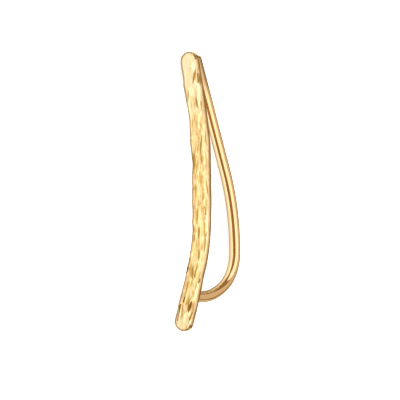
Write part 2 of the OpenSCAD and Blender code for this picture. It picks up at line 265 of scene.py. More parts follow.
class ClimberGold(bpy.types.PropertyGroup):
    """Colour and polish of the gold."""
    colour: tint("Gold", "Colour of the polished gold", (0.79, 0.60, 0.30))
    # Deeper tone for the strokes and the wire's clouds, and painted shade in the hollows and on
    # one side of each bowl
    deep_and_shade_colour: tint("Deep gold", "Warmer colour in the hollows", (0.54, 0.335, 0.085))
    wire_colour: tint("Wire", "Colour of the drawn wire", (0.80, 0.62, 0.37))
    # Painted highlight: paler colour on the strip's ends and along the bulging side's front rim
    highlight_colour: tint("Ends", "Paler colour of the strip's polished ends", (0.88, 0.745, 0.46))
    # Painted shade in the creases
    crease_shade_colour: tint("Crease", "Dark, warm colour in the creases", (0.31, 0.18, 0.035))
    # Painted shade: the dark outline along the strip's edges, the shade on the bowls' ridges and
    # the wire's darker free end
    painted_shade_colour: tint("Edge", "Darker colour along the strip's edges", (0.26, 0.17, 0.08))
    solder_colour: tint("Solder", "Paler colour of the solder", (0.72, 0.54, 0.34))
    grazing: tint("Grazing", "Tint the strip reflects at a grazing angle", (0.80, 0.62, 0.36))
    wire_grazing: tint("Wire grazing", "Tint the wire reflects at a grazing angle",
                       (0.03, 0.025, 0.02))
    roughness: share("Roughness", "Roughness where the polish is best", 0.06)
    dullness: share("Dullness", "Roughness that is added where the polish is worn", 0.08)


class ClimberStage(bpy.types.PropertyGroup):
    """Floor, lights and camera."""
    floor_colour: tint("Floor", "Colour of the floor", (0.50, 0.50, 0.50))
    surround: tint("Surround", "Colour of the dim studio round the lights", (0.40, 0.22, 0.08))
    glow: amount("Glow", "Light that the floor, a lit table, gives by itself", 0.74)
    overhead: amount("Overhead light", "Brightness of the large soft light overhead", 1.35)
    rear: amount("Rear light", "Brightness of the low light at the back", 0.48)
    key: amount("Key light", "Strength of the distant light from behind", 8.0)
    key_height: angle("Key height", "How far above the horizon the key light stands", 30)
    turn: angle("Turn", "How far the camera stands round from the strip's front", 36.87)
    view_width: length("View width", "Width of what the camera sees", 32.2)


GROUPS = {
    "climber_bar": ClimberBar,
    "climber_wire": ClimberWire,
    "climber_gold": ClimberGold,
    "climber_stage": ClimberStage,
}


# Maths that reads the same for numbers and for sockets of a node tree

class Value:
    """A number socket of a node tree, on which Python's operators add Math nodes."""

    def __init__(self, nodes, socket):
        self.nodes, self.socket = nodes, socket

    def other(self, name):
        """Another output of the same node."""
        return self.nodes.output(self.socket.node, name)

    def maths(self, operation, *others):
        return self.nodes.maths(operation, self, *others)

    def __add__(self, other):
        return self.maths("ADD", other)

    def __sub__(self, other):
        return self.maths("SUBTRACT", other)

    def __rsub__(self, other):
        return self.nodes.maths("SUBTRACT", other, self)

    def __mul__(self, other):
        return self.maths("MULTIPLY", other)

    def __truediv__(self, other):
        return self.maths("DIVIDE", other)

    def __neg__(self):
        return self.maths("MULTIPLY", -1)

    __radd__ = __add__
    __rmul__ = __mul__


class Nodes:
    """Adds nodes to a tree, with their settings and the values or links of their sockets."""

    def __init__(self, tree):
        self.tree = tree

    @staticmethod
    def find(sockets, key):
        if isinstance(key, int):
            return sockets[key]
        named = [s for s in sockets if s.enabled and key in (s.identifier, s.name)]
        if not named:
            raise RuntimeError(f"no socket {key}")
        return named[0]

    def output(self, node, key=0):
        if key == 0:
            return Value(self, next(s for s in node.outputs if s.enabled))
        return Value(self, self.find(node.outputs, key))

    def add(self, kind, settings=None, inputs=None, output=0):
        node = self.tree.nodes.new(kind)
        for name, value in (settings or {}).items():
            setattr(node, name, value)
        self.fill(node, inputs or {})
        return self.output(node, output) if node.outputs else node

    def fill(self, node, inputs):
        """Links or sets sockets of a node; a colour is three numbers."""
        for key, value in inputs.items():
            socket = self.find(node.inputs, key)
            if isinstance(value, Value):
                self.tree.links.new(value.socket, socket)
            else:
                socket.default_value = (*value, 1.0) if socket.type == "RGBA" else value

    def maths(self, operation, *values):
        return self.add("ShaderNodeMath", {"operation": operation}, dict(enumerate(values)))


def sine(x):
    return x.maths("SINE") if isinstance(x, Value) else math.sin(x)


def cosine(x):
    return x.maths("COSINE") if isinstance(x, Value) else math.cos(x)


def at_least(x, lowest):
    return x.maths("MAXIMUM", lowest) if isinstance(x, Value) else max(x, lowest)


def clamped(x, lowest, highest):
    x = at_least(x, lowest)
    return x.maths("MINIMUM", highest) if isinstance(x, Value) else min(x, highest)


def eased(start, end, part):
    return start + (end - start) * (1 - math.cos(math.pi * part)) / 2


def steps(count, start=0.0, end=1.0):
    return [start + (end - start) * i / count for i in range(count + 1)]


# The bar's middle line and the wire's route

def bar_line(distance, bar):
    """Place and direction of the bar's middle line, with the middle stretch along the first axis.
    bar holds the sizes, as numbers or as sockets."""
    bend_end = bar.lower_straight + bar.lower_bend_radius * bar.lower_bend_angle
    rise_start = bend_end + bar.middle_straight
    rise_end = rise_start + bar.upper_bend_radius * bar.upper_bend_angle
    bend = clamped((bend_end - distance) / bar.lower_bend_radius, 0, bar.lower_bend_angle)
    rise = clamped((distance - rise_start) / bar.upper_bend_radius, 0, bar.upper_bend_angle)
    middle = clamped(distance - bend_end, 0, bar.middle_straight)
    below = at_least(bar.lower_straight - distance, 0)
    above = at_least(distance - rise_end, 0)
    along = (middle + bar.upper_bend_radius * sine(rise) + above * cosine(bar.upper_bend_angle)
             - bar.lower_bend_radius * sine(bend) - below * cosine(bar.lower_bend_angle))
    across = -(bar.lower_bend_radius * (1 - cosine(bend)) + below * sine(bar.lower_bend_angle)
               + bar.upper_bend_radius * (1 - cosine(rise)) + above * sine(bar.upper_bend_angle))
    return along, across, bend - rise


def line_length(bar):
    return (bar.lower_straight + bar.lower_bend_radius * bar.lower_bend_angle
            + bar.middle_straight + bar.upper_bend_radius * bar.upper_bend_angle
            + bar.upper_straight)


def direction(turn):
    return Vector((math.cos(turn), math.sin(turn)))


def heading(vector):
    return math.atan2(vector.y, vector.x)


class Route:
    """The wire's middle line in its own plane: back from the bar's front, and up from the foot."""

    def __init__(self, bar, wire):
        self.bar, self.wire = bar, wire
        self.radius = wire.diameter / 2
        spare = wire.heel_radius * (1 - math.sin(wire.sweep_angle))
        self.sweep_start = wire.depth - wire.sweep_radius * math.sin(wire.sweep_angle) - spare
        self.sweep_centre = Vector((self.sweep_start, wire.sweep_radius))
        self.heel_centre = Vector((
            wire.depth - wire.heel_radius,
            wire.sweep_radius * (1 - math.cos(wire.sweep_angle))
            + wire.heel_radius * math.cos(wire.sweep_angle),
        ))
        self.bow_centre = Vector((wire.depth - wire.bow_radius, self.heel_centre.y))
        line = [Vector(bar_line(d, bar)[:2]) for d in (0, wire.foot_distance, line_length(bar))]
        chord = line[2] - line[0]
        self.chord, self.chord_lean = chord.length, heading(chord)
        turn = Matrix.Rotation(-self.chord_lean, 2)
        self.foot = turn @ (line[1] - line[0])
        to_tip = turn @ (line[2] - line[1])
        self.plane_turn = heading(to_tip)
        # The free end's round nearest the bar sets how far the bow turns
        self.tip_flat = self.radius - wire.tip_rounding
        tip_round = Vector((bar.thickness + wire.tip_gap + wire.tip_rounding,
                            to_tip.length + bar.width / 2 - wire.tip_setback))
        offset = tip_round - self.bow_centre
        self.bow_angle = heading(offset) - math.acos(
            (wire.bow_radius - self.tip_flat) / offset.length)
        self.bow_end = self.bow_centre + wire.bow_radius * direction(self.bow_angle)
        self.last_turn = self.bow_angle + QUARTER
        self.straight = (tip_round - self.bow_end).dot(direction(self.last_turn))
        self.straight += wire.tip_rounding

    def arc(self, centre, radius, start, turn, count):
        return [(centre + radius * direction(start + turn * part), self.radius)
                for part in steps(count)[1:]]

    def stations(self):
        """(place, radius of the wire) along the route."""
        wire, rounding = self.wire, self.wire.tip_rounding
        spread = min(wire.solder_height,
                     SOLDER_ROOM * self.bar.width / 2 - self.bar.edge_radius - self.radius)
        found = [(Vector((self.bar.thickness / 2, 0)), self.radius + spread)]
        for part in steps(SOLDER_STEPS):
            place = Vector((self.bar.thickness + part * wire.solder_height, 0))
            found.append((place, self.radius + spread * (1 - math.sin(QUARTER * part))))
        found += [(Vector((x, 0)), self.radius)
                  for x in steps(FOOT_STEPS, found[-1][0].x, self.sweep_start)[1:]]
        sweep, heel = wire.sweep_angle, QUARTER - wire.sweep_angle
        found += self.arc(self.sweep_centre, wire.sweep_radius, -QUARTER, sweep, SWEEP_STEPS)
        found += self.arc(self.heel_centre, wire.heel_radius, -heel, heel, HEEL_STEPS)
        found += self.arc(self.bow_centre, wire.bow_radius, 0, self.bow_angle, BOW_STEPS)
        up = direction(self.last_turn)
        found += [(self.bow_end + up * d, self.radius)
                  for d in steps(STRAIGHT_STEPS, 0, self.straight - rounding)[1:]]
        found += [(self.bow_end + up * (self.straight - rounding * (1 - math.sin(t))),
                   self.tip_flat + rounding * math.cos(t))
                  for t in steps(END_STEPS, 0, QUARTER)[1:]]
        return found

    def lean(self):
        """How far the piece leans back until the wire's belly comes down, how far behind the
        front the edge is that it leans about, and the middle between its front and its back."""
        wire, bar = self.wire, self.bar
        corner = bar.thickness - bar.edge_radius
        belly = [self.heel_centre + wire.heel_radius * direction(t)
                 for t in steps(BELLY_STEPS, wire.sweep_angle - QUARTER, 0)]
        belly += [self.bow_centre + wire.bow_radius * direction(t)
                  for t in steps(BELLY_STEPS, 0, self.bow_angle)]
        base = bar.width / 2 + self.foot.y
        seats = [Vector((p.x - corner, base + p.y * math.sin(self.plane_turn))) for p in belly]
        lean = min(heading(s) - math.asin(self.radius / s.length) for s in seats)
        front = bar.edge_radius * math.sin(lean) - corner * math.cos(lean)
        back = self.radius + max(s.dot(direction(lean)) for s in seats)
        return lean, corner, (front + back) / 2

    def laid_down(self):
        """From the standing strip (back, up, towards the bulging side) to where it lies."""
        lean, corner, middle = self.lean()
        return (Matrix.Translation((0, -middle, 0)) @ Matrix.Rotation(-lean, 4, "X")
                @ Matrix.Translation((self.chord / 2, -corner, self.bar.width / 2))
                @ Matrix.Rotation(QUARTER, 4, "Z"))

    def bar_frame(self):
        """From the bar's line (along, across, depth behind the front) to where it lies."""
        start = bar_line(0, self.bar)
        along, across = direction(-self.chord_lean), direction(QUARTER - self.chord_lean)
        turn = Matrix(((0, 0, 1, 0), (along.x, across.x, 0, 0), (along.y, across.y, 0, 0),
                       (0, 0, 0, 1)))
        return self.laid_down() @ turn @ Matrix.Translation((-start[0], -start[1], 0))

    def wire_frame(self):
        """From the wire's plane (back, up, sideways) to where it lies."""
        return (self.laid_down() @ Matrix.Translation((0, *self.foot))
                @ Matrix.Rotation(self.plane_turn, 4, "X"))


# How finely the pieces are drawn
TIP_STEPS = 22
ALONG_STEPS = 440
ACROSS_STEPS = 64
EDGE_STEPS = 5
WALL_STEPS = 6
BACK_STEPS = 20
WIRE_SIDES = 56
SOLDER_STEPS = 6
FOOT_STEPS = 8
SWEEP_STEPS = 24
HEEL_STEPS = 36
BOW_STEPS = 60
STRAIGHT_STEPS = 60
END_STEPS = 10
BELLY_STEPS = 90
# Points of the strip closer together than this are one
WELD = 1e-8
# How far the painted dark outline along the edges reaches over the front, and from the back edge
# up the wall
DARK_EDGE_FADE = 0.14 * MM
DARK_WALL_FADE = 0.30 * MM
# How strong it is on the edge, before it is held to 1
DARK_EDGE_STRENGTH = 1.6
# Share of that painted dark outline along the front edge of the bulging side, which gets a painted
# highlight instead
BULGING_DARK_EDGE = 0.15
# How far in from that edge the front gets a painted highlight
RIM_HIGHLIGHT_FADE = 0.35 * MM
# The small unevenness: how wide it is, how many times longer along the bar, and its detail
UNEVEN = (0.30 * MM, 2.5, 1.0)
# Share of half the bar's width that the solder keeps inside
SOLDER_ROOM = 0.9


def outline(part, column):
    """How far a side stands out at a share of the bar's length, as a share of half its width."""
    part = min(max(part, 0.0), 1.0)
    for low, high in zip(OUTLINE, OUTLINE[1:]):
        if part <= high[0]:
            return eased(low[column], high[column], (part - low[0]) / (high[0] - low[0]))
    return OUTLINE[-1][column]


def section(bar):
    """Points round the strip's section: place across as a share, inset from the outline, depth,
    how far the point follows the hammered front, and how far up the wall it is from the back
    edge as a share of how far the painted dark outline fades there."""
    r, thick = bar.edge_radius, bar.thickness
    front = [(s, r, 0.0, 1.0, 0.0) for s in steps(ACROSS_STEPS, -1, 1)]
    edge = [(r * (1 - math.sin(t)), r * (1 - math.cos(t)))
            for t in steps(EDGE_STEPS, 0, QUARTER)[1:]]
    side = [(1.0, inset, depth, 1.0, 0.0) for inset, depth in edge]
    wall = thick - 2 * r
    side += [(1.0, 0.0, r + wall * part, 1 - part, wall * (1 - part) / DARK_WALL_FADE)
             for part in steps(WALL_STEPS)[1:]]
    side += [(1.0, inset, thick - depth, 0.0, 0.0)
             for inset, depth in reversed([(r, 0.0)] + edge[:-1])]
    back = [(s, r, thick, 0.0, 0.0) for s in steps(BACK_STEPS, 1, -1)[1:-1]]
    return front + side + back + [(-s, *rest) for s, *rest in reversed(side)]


def new_object(name, data):
    made = bpy.data.objects.new(name, data)
    bpy.context.scene.collection.objects.link(made)
    return made


def store(mesh, name, values):
    """Keeps one number for each point of a mesh."""
    mesh.attributes.new(name, "FLOAT", "POINT").data.foreach_set("value", values)


def make_blank(bar):
    """The flat strip before it is hammered and bent: along, across, depth behind the front."""
    half, long = bar.width / 2, line_length(bar)
    turns = steps(TIP_STEPS, 0, QUARTER)
    stations = [(0.0, -math.cos(t), math.sin(t)) for t in turns[:-1]]
    stations += [(d, 0.0, 1.0) for d in steps(ALONG_STEPS, 0, long)]
    stations += [(long, math.cos(t), math.sin(t)) for t in reversed(turns[:-1])]
    ring = section(bar)
    points, follow, dark_edge, rim_highlight = [], [], [], []
    for distance, beyond, wide in stations:
        part = (distance + half) / (long + bar.width)
        stand_out = (outline(part, 1), outline(part, 2))
        for s, inset, depth, weight, risen in ring:
            reach = half * (1 + stand_out[s > 0] * abs(s)) - inset
            points.append((distance + beyond * (half - inset), s * wide * reach, depth))
            follow.append(weight)
            inside = half * (1 - math.hypot(beyond, s * wide))
            # The edge's painted dark outline stands in for shade; along the bulging side's front
            # edge it is weaker and a painted highlight is added
            worn = min(max(DARK_EDGE_STRENGTH * (1 - inside / DARK_EDGE_FADE - risen), 0.0), 1.0)
            polished = s > 0 and depth < bar.edge_radius and not beyond
            dark_edge.append(worn * (BULGING_DARK_EDGE if polished else 1.0))
            rim_highlight.append(max(1 - inside / RIM_HIGHLIGHT_FADE, 0.0) if polished else 0.0)
    count = len(ring)
    faces = []
    for row in range(len(stations) - 1):
        for i in range(count):
            a, b = row * count + i, row * count + (i + 1) % count
            faces.append((a, a + count, b + count, b))
    mesh = bpy.data.meshes.new("blank")
    mesh.from_pydata(points, [], faces)
    store(mesh, "follow", follow)
    store(mesh, "edge", dark_edge)
    store(mesh, "rim_highlight", rim_highlight)
    made = bmesh.new()
    made.from_mesh(mesh)
    bmesh.ops.remove_doubles(made, verts=made.verts, dist=WELD)
    bmesh.ops.recalc_face_normals(made, faces=made.faces)
    made.to_mesh(mesh)
    made.free()
    return new_object("blank", mesh)


def make_marks(bar, name, rows, spread, deepest):
    """The hammer's strikes as points, each with the reach, depth and turn of its bowl."""
    long, half = line_length(bar) + bar.width, bar.width / 2
    mesh = bpy.data.meshes.new(name)
    mesh.from_pydata([(m[0] * long - half, m[1] * half, 0) for m in rows], [], [])
    store(mesh, "half_length", [spread * bar.width * m[2] for m in rows])
    store(mesh, "half_width", [spread * bar.width * m[3] for m in rows])
    store(mesh, "depth", [deepest * m[4] for m in rows])
    store(mesh, "turn", [math.radians(m[5]) for m in rows])
    return new_object(name, mesh)


class Recipe:
    """A geometry node tree with named inputs, and the modifier that runs it on an object."""

    def __init__(self, name, inputs):
        self.tree = bpy.data.node_groups.new(name, "GeometryNodeTree")
        new_socket = self.tree.interface.new_socket
        new_socket("Geometry", in_out="INPUT", socket_type="NodeSocketGeometry")
        new_socket("Geometry", in_out="OUTPUT", socket_type="NodeSocketGeometry")
        self.keys = {
            label: new_socket(label, in_out="INPUT", socket_type="NodeSocket" + kind).identifier
            for label, kind in inputs.items()
        }
        self.nodes = Nodes(self.tree)
        self.start = self.tree.nodes.new("NodeGroupInput")
        self.end = self.tree.nodes.new("NodeGroupOutput")

    def given(self, label):
        return self.nodes.output(self.start, label)

    def finish(self, geometry):
        """The last two nodes: instances made real, and the material."""
        real = self.nodes.add("GeometryNodeRealizeInstances", inputs={"Geometry": geometry})
        dressed = self.nodes.add("GeometryNodeSetMaterial", inputs={
            "Geometry": real, "Material": self.given("Material")})
        self.tree.links.new(dressed.socket, self.end.inputs[0])

    def run(self, base, values, name, place):
        """Runs the tree on base, and returns its result as a plain mesh piece in its place."""
        modifier = base.modifiers.new(self.tree.name, "NODES")
        modifier.node_group = self.tree
        for label, value in values.items():
            modifier[self.keys[label]] = value
        depsgraph = bpy.context.evaluated_depsgraph_get()
        mesh = bpy.data.meshes.new_from_object(
            base.evaluated_get(depsgraph), preserve_all_data_layers=True, depsgraph=depsgraph)
        if not mesh.polygons:
            raise RuntimeError(f"{self.tree.name} made no faces")
        base.modifiers.remove(modifier)
        mesh.transform(place)
        mesh.name = name
        piece = new_object(name, mesh)
        bpy.data.objects.remove(base)
        return piece


def attribute(nodes, name):
    return nodes.add("GeometryNodeInputNamedAttribute", {"data_type": "FLOAT"}, {"Name": name},
                     "Attribute")


def keep(nodes, geometry, name, value, kind="FLOAT"):
    """The geometry with a value stored at each of its points."""
    return nodes.add("GeometryNodeStoreNamedAttribute", {"data_type": kind}, {
        "Geometry": geometry, "Name": name, "Value": value})


def split(nodes, vector):
    """The three numbers of a vector."""
    apart = nodes.add("ShaderNodeSeparateXYZ", inputs={0: vector})
    return [apart.other(axis) for axis in "XYZ"]


def eased_step(x, low, high):
    """Rises from 0 to 1 between two values of a socket."""
    return x.nodes.add("ShaderNodeMapRange", {"interpolation_type": "SMOOTHSTEP"}, {
        "Value": x, "From Min": low, "From Max": high})


def noise(nodes, place, size, detail):
    """Cloudy pattern from 0 to 1 whose lumps are about size across."""
    return nodes.add("ShaderNodeTexNoise", output="Fac", inputs={
        "Vector": place, "Scale": 1 / size, "Detail": detail})


def streaks(nodes, place, size, stretch, detail):
    """Cloudy pattern drawn out along the first axis."""
    drawn = nodes.add("ShaderNodeVectorMath", {"operation": "MULTIPLY"}, {
        0: place, 1: (1 / stretch, 1.0, 1.0)})
    return noise(nodes, drawn, size, detail)


BAR_SIZES = ("lower_straight", "lower_bend_radius", "lower_bend_angle", "middle_straight",
             "upper_bend_radius", "upper_bend_angle")


class Strikes:
    """A repeat zone that strikes a geometry once for each point of a table of marks."""

    def __init__(self, nodes, geometry, marks, count):
        self.nodes = nodes
        self.marks = nodes.add("GeometryNodeObjectInfo", inputs={"Object": marks},
                               output="Geometry")
        first = nodes.tree.nodes.new("GeometryNodeRepeatInput")
        self.last = nodes.tree.nodes.new("GeometryNodeRepeatOutput")
        first.pair_with_output(self.last)
        nodes.fill(first, {"Iterations": count, "Geometry": geometry})
        self.geometry = nodes.output(first, "Geometry")
        self.strike = nodes.output(first, "Iteration")
        position = nodes.add("GeometryNodeInputPosition")
        along, across, _ = split(nodes, position)
        centre_along, centre_across, _ = split(nodes, self.of_mark(position, "FLOAT_VECTOR"))
        turn = self.of_mark(attribute(nodes, "turn"))
        off_along, off_across = along - centre_along, across - centre_across
        forward = (off_along * cosine(turn) + off_across * sine(turn)) / self.of_mark(
            attribute(nodes, "half_length"))
        self.sideways = (off_across * cosine(turn) - off_along * sine(turn)) / self.of_mark(
            attribute(nodes, "half_width"))
        self.bowl = self.of_mark(attribute(nodes, "depth")) * (
            1 - forward * forward - self.sideways * self.sideways)

    def of_mark(self, value, kind="FLOAT"):
        return self.nodes.add("GeometryNodeSampleIndex", {"data_type": kind}, {
            "Geometry": self.marks, "Value": value, "Index": self.strike})

    def struck(self, geometry):
        """The geometry after the last strike; geometry is that after each."""
        self.nodes.fill(self.last, {"Geometry": geometry})
        return self.nodes.output(self.last, "Geometry")


def hammer_recipe():
    """Strikes the blank once for each mark, keeping the deepest bowl, adds the creases and the
    unevenness, and then bends it."""
    recipe = Recipe("Hammer and bend", {
        **{size: "Float" for size in BAR_SIZES},
        "Marks": "Object", "Strikes": "Int", "Creases": "Object", "Crease strikes": "Int",
        "Rim softness": "Float", "Unevenness": "Float", "Material": "Material"})
    nodes = recipe.nodes
    blank = recipe.given("Geometry")
    for name in ("dent", "next_dent", "side", "crease"):
        blank = keep(nodes, blank, name, 0.0)
    bowls = Strikes(nodes, blank, recipe.given("Marks"), recipe.given("Strikes"))
    dent, side = attribute(nodes, "dent"), attribute(nodes, "side")
    overlap = at_least(attribute(nodes, "next_dent"), dent.maths("MINIMUM", bowls.bowl))
    deeper = dent.maths("SMOOTH_MAX", bowls.bowl, recipe.given("Rim softness"))
    wins = bowls.bowl.maths("GREATER_THAN", dent)
    after = keep(nodes, bowls.geometry, "next_dent", overlap)
    after = keep(nodes, after, "side", side + (bowls.sideways - side) * wins)
    hammered = bowls.struck(keep(nodes, after, "dent", deeper))

    creases = Strikes(nodes, hammered, recipe.given("Creases"), recipe.given("Crease strikes"))
    crease = attribute(nodes, "crease")
    after = keep(nodes, creases.geometry, "crease", at_least(crease, creases.bowl))
    hammered = creases.struck(after)
    place = nodes.add("GeometryNodeInputPosition")
    hammered = keep(nodes, hammered, "unbent", place, "FLOAT_VECTOR")
    uneven = (streaks(nodes, place, *UNEVEN) - 0.5) * recipe.given("Unevenness")
    hammered = keep(nodes, hammered, "dent", at_least(attribute(nodes, "dent") + uneven, 0))

    along, across, depth = split(nodes, place)
    sizes = type("Sizes", (), {size: recipe.given(size) for size in BAR_SIZES})
    line_along, line_across, turn = bar_line(along, sizes)
    sunk = (attribute(nodes, "dent") + crease) * attribute(nodes, "follow")
    bent = nodes.add("ShaderNodeCombineXYZ", inputs={
        "X": line_along - across * sine(turn),
        "Y": line_across + across * cosine(turn),
        "Z": depth + sunk})
    hammered = nodes.add("GeometryNodeSetPosition", inputs={
        "Geometry": hammered, "Position": bent})
    recipe.finish(nodes.add("GeometryNodeSetShadeSmooth", inputs={"Geometry": hammered}))
    return recipe


def sweep_recipe():
    """Sweeps a round section along a curve, at the radius of each of its points."""
    recipe = Recipe("Draw wire", {"Sides": "Int", "Material": "Material"})
    nodes = recipe.nodes
    walked = nodes.add("GeometryNodeSplineParameter", output="Length")
    route = keep(nodes, recipe.given("Geometry"), "along", walked)
    circle = nodes.add("GeometryNodeCurvePrimitiveCircle", {"mode": "RADIUS"}, {
        "Resolution": recipe.given("Sides"), "Radius": 1.0})
    swept = nodes.add("GeometryNodeCurveToMesh", inputs={
        "Curve": route, "Profile Curve": circle, "Scale": nodes.add("GeometryNodeInputRadius"),
        "Fill Caps": True})
    recipe.finish(nodes.add("GeometryNodeSetShadeSmooth", inputs={"Geometry": swept}))
    return recipe


def make_path(stations):
    """A curve of straight steps through the route's stations, with the wire's radius at each."""
    data = bpy.data.curves.new("route", "CURVE")
    data.dimensions = "3D"
    spline = data.splines.new("POLY")
    spline.points.add(len(stations) - 1)
    for point, (place, radius) in zip(spline.points, stations):
        point.co = (place.x, place.y, 0, 1)
        point.radius = radius
    return new_object("route", data)


# Finishes

# How much deeper than its neighbour a mark's bowl is where the ridge between them ends
RIDGE_FADE = 0.03 * MM
# The strip's ends get a painted highlight, a paler colour: how far from the upper end that starts
# and is full, how far from the lower end it starts, and its share at that end
UPPER_FADE = 6.0 * MM
UPPER_HIGHLIT = 1.3 * MM
LOWER_FADE = 2.6 * MM
LOWER_HIGHLIGHT = 0.6
# How far the wire's duller end reaches, how much darker its painted shade makes it, and how far
# the solder's colour reaches at the foot
DULL_END_REACH = 3.6 * MM
END_SHADE = 0.6
SOLDER_FADE = 0.5 * MM
# Height of the grain on the strip and on the wire
GRAIN = 0.0012 * MM
WIRE_GRAIN = 0.0006 * MM
# Patterns on the strip: size of their lumps, how many times longer along the strip, and detail
STROKES = (0.16 * MM, 7.0, 3.0)
# The next pattern breaks up the painted dark outline along the edges
DARK_EDGE_PATTERN = (0.20 * MM, 4.0, 2.0)
POLISH_WEAR = (0.10 * MM, 5.0, 3.0)
FINE_LINES = (0.05 * MM, 6.0, 2.0)
# Patterns on the wire: size of their lumps, and detail
WIRE_CLOUDS = (0.9 * MM, 3.0)
WIRE_WEAR = (0.25 * MM, 3.0)
WIRE_SPECKS = (0.06 * MM, 2.0)
# Where each of these starts and is full: painted shade in the hollows, by depth as a share of the
# deepest mark; painted shade on one side of a bowl, and on its ridge, by place across; strokes, by
# their pattern
HOLLOW = (0.45, 0.95)
SIDE_SHADE_PLACES = (0.0, 0.5)
SHADED = (0.2, 0.6)
STROKED = (0.46, 0.62)
# How fast the painted shade on a bowl's side grows with depth
SIDE_SHADE_GROWTH = 1.6
# How much deeper colour each brings or takes: the hollows and a bowl's side bring painted shade,
# the ridges take it for a painted highlight; plain is where the hammer hasn't struck
HOLLOW_SHADE = 0.25
SIDE_SHADE = 0.40
# The ridges' painted highlight takes deeper colour away
RIDGE_HIGHLIGHT = -0.30
PLAIN_DEEP = 0.30
STROKE_DEEP, STRUCK_STROKE_DEEP = 0.2, 0.7
ALL_OVER_DEEP = -0.16
# How much the painted highlight at the ends takes off the deeper colour
END_HIGHLIGHT_TAKES = 0.7
CLOUD_DEEP = 0.2
# Strength and limit of the painted shade in the creases, the ridges' share of the painted shade
# colour, what is added to the pattern of the painted dark outline, and how much deeper colour adds
# to the pattern of wear
CREASE_SHADE_STRENGTH, CREASE_SHADE_LIMIT = 1.5, 0.95
RIDGE_SHADE = 0.4
DARK_EDGE_ADDED = 0.4
DEEP_WEAR = 0.5


def new_material(name):
    """An empty material, with its surface shader and the maker of its nodes."""
    material = bpy.data.materials.new(name)
    material.use_nodes = True
    tree = material.node_tree
    tree.nodes.clear()
    nodes = Nodes(tree)
    shader = tree.nodes.new("ShaderNodeBsdfPrincipled")
    output = tree.nodes.new("ShaderNodeOutputMaterial")
    tree.links.new(shader.outputs[0], output.inputs["Surface"])
    return material, nodes, shader


def blend(nodes, factor, low, high):
    """A colour between two, by a factor."""
    return nodes.add("ShaderNodeMix", {"data_type": "RGBA"}, {
        "Factor_Float": factor, "A_Color": low, "B_Color": high}, "Result_Color")


def stored(nodes, name, output="Fac"):
    """A value that the piece's own points carry."""
    return nodes.add("ShaderNodeAttribute", {"attribute_name": name}, output=output)


def finish_gold(nodes, shader, colour, roughness, pattern, height, grazing):
    """Gives gold its colour, its roughness and its grain, a pattern of a small height."""
    grain = nodes.add("ShaderNodeBump", inputs={
        "Strength": 1.0, "Distance": height, "Height": pattern})
    nodes.fill(shader, {"Base Color": colour, "Roughness": roughness, "Normal": grain,
                        "Metallic": 1.0, "Specular Tint": grazing})


def hammered_gold(gold, bar):
    """Planished gold, with painted shade in the hollows and creases, a painted highlight on the
    ridges and the ends, and a painted dark outline along the edges.
    """
    material, nodes, shader = new_material("hammered_gold")
    place = stored(nodes, "unbent", "Vector")
    struck, dent, side = (stored(nodes, name) for name in ("follow", "dent", "side"))
    depth = dent / bar.hammer_depth
    ridge = clamped(1 - (dent - stored(nodes, "next_dent")) / RIDGE_FADE, 0, 1)
    # Painted shade and highlight in the bowls: darker in the hollows and on one side of each bowl,
    # paler on the ridges
    side_shade = eased_step(side, *SIDE_SHADE_PLACES) * clamped(depth * SIDE_SHADE_GROWTH, 0, 1)
    bowl_shading = (eased_step(depth, *HOLLOW) * HOLLOW_SHADE + side_shade * SIDE_SHADE
              + ridge * RIDGE_HIGHLIGHT) * struck
    stroked = eased_step(streaks(nodes, place, *STROKES), *STROKED) * (
        struck * STRUCK_STROKE_DEEP + STROKE_DEEP)
    tone_and_shade = clamped(bowl_shading + (1 - struck) * PLAIN_DEEP + stroked + ALL_OVER_DEEP, 0, 1)

    whole = line_length(bar)
    reach = split(nodes, place)[0]
    # Painted highlight: the ends and the bulging side's front rim are blended towards a paler
    # colour
    upper = eased_step(reach, whole - UPPER_FADE, whole - UPPER_HIGHLIT)
    lower = (1 - eased_step(reach, 0, LOWER_FADE)) * LOWER_HIGHLIGHT
    bright = at_least(at_least(upper, lower), stored(nodes, "rim_highlight")) * struck
    colour = blend(nodes, bright, gold.colour, gold.highlight_colour)
    colour = blend(nodes, tone_and_shade * (1 - bright * bright * END_HIGHLIGHT_TAKES), colour, gold.deep_and_shade_colour)

    # Painted shade: the creases are darkened towards a dark, warm colour
    crease = stored(nodes, "crease") / bar.crease_depth * struck
    colour = blend(nodes, clamped(crease * CREASE_SHADE_STRENGTH, 0, CREASE_SHADE_LIMIT), colour,
                   gold.crease_shade_colour)
    # Painted dark outline along the edges, and painted shade on one side of the bowls' ridges
    edge = stored(nodes, "edge") * clamped(streaks(nodes, place, *DARK_EDGE_PATTERN) + DARK_EDGE_ADDED, 0, 1)
    shade = ridge * eased_step(side, *SHADED) * struck
    colour = blend(nodes, at_least(edge, shade * RIDGE_SHADE), colour, gold.painted_shade_colour)
    worn = streaks(nodes, place, *POLISH_WEAR) + tone_and_shade * DEEP_WEAR
    finish_gold(nodes, shader, colour, worn * gold.dullness + gold.roughness,
                streaks(nodes, place, *FINE_LINES), GRAIN, gold.grazing)
    return material


